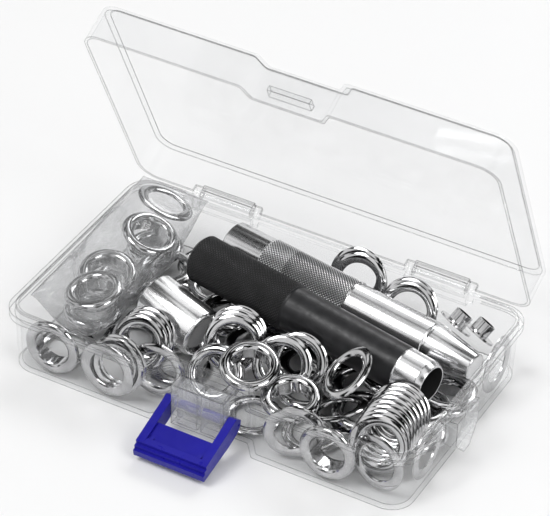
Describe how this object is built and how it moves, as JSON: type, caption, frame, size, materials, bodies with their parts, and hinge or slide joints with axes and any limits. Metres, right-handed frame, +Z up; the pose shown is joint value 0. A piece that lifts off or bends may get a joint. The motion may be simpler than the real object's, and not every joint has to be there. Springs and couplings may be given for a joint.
{
  "type": "grommet setting kit",
  "caption": "Hinged clear plastic case holding a grommet setter, hole cutter, anvil and loose plated grommets and washers, with a swinging latch on the front.",
  "frame": {"origin": "centre of the case's flat underside", "axes": "+X along the case's long side, +Z up, latch on the -Y side, lid hinge on the +Y side"},
  "size_m": [0.168, 0.1311, 0.1191],
  "materials": {
    "clear_case": "clear moulded",
    "blue_plastic": "moulded",
    "polished_steel": "polished, knurled grip",
    "black_steel": "blackened, ground cutting end",
    "plated_ring": "bright nickel plate",
    "bag_film": "thin clear film"
  },
  "bodies": {
    "case": {"case_base": "clear_case", "grommet_top_left": "plated_ring", "grommet_top_mid": "plated_ring", "washer_leaning": "plated_ring", "washer_low_mid": "plated_ring", "washer_mid_1": "plated_ring", "washer_mid_2": "plated_ring", "washer_stack_right": "plated_ring", "washer_stack_mid": "plated_ring", "grommet_by_anvil": "plated_ring", "washer_stack_left": "plated_ring", "washer_stack_left_back": "plated_ring", "grommet_front_left": "plated_ring", "washer_front_left_2": "plated_ring", "washer_front_left_3": "plated_ring", "grommet_front_right": "plated_ring", "washer_front_right_2": "plated_ring", "washer_front_right_3": "plated_ring", "washer_right_front": "plated_ring", "washer_right_back": "plated_ring", "washers_back_left": "plated_ring", "washers_back_right": "plated_ring", "eyelet_back_1": "plated_ring", "eyelet_back_2": "plated_ring", "grommets_bed": "plated_ring", "washers_floor": "plated_ring", "washers_second": "plated_ring", "washers_third": "plated_ring"},
    "lid": {"case_lid": "clear_case"},
    "latch_body": {"latch": "blue_plastic"},
    "setter_body": {"setter": "polished_steel"},
    "cutter_body": {"cutter": "black_steel"},
    "anvil_body": {"anvil": "polished_steel"},
    "bag_body": {"poly_bag": "bag_film", "grommet_bag_1": "plated_ring", "grommet_bag_2": "plated_ring", "grommet_bag_3": "plated_ring", "washer_bag_4": "plated_ring"}
  },
  "joints": [
    {"name": "lid_hinge", "type": "hinge", "parent": "case", "child": "lid", "pos_m": [0, 0.04886, 0.02544], "axis": [-1, 0, 0], "range_deg": [-64, 110]},
    {"name": "latch_hinge", "type": "hinge", "parent": "case", "child": "latch_body", "pos_m": [0, -0.0466, 0.0117], "axis": [1, 0, 0], "range_deg": [-100, 4]},
    {"name": "setter_lift", "type": "slide", "parent": "case", "child": "setter_body", "axis": [0, 0, 1], "range_m": [0, 0.04]},
    {"name": "cutter_lift", "type": "slide", "parent": "case", "child": "cutter_body", "axis": [0, 0, 1], "range_m": [0, 0.06]},
    {"name": "anvil_lift", "type": "slide", "parent": "case", "child": "anvil_body", "axis": [0, 0, 1], "range_m": [0, 0.06]},
    {"name": "bag_lift", "type": "slide", "parent": "case", "child": "bag_body", "axis": [0, 0, 1], "range_m": [0, 0.03]}
  ]
}
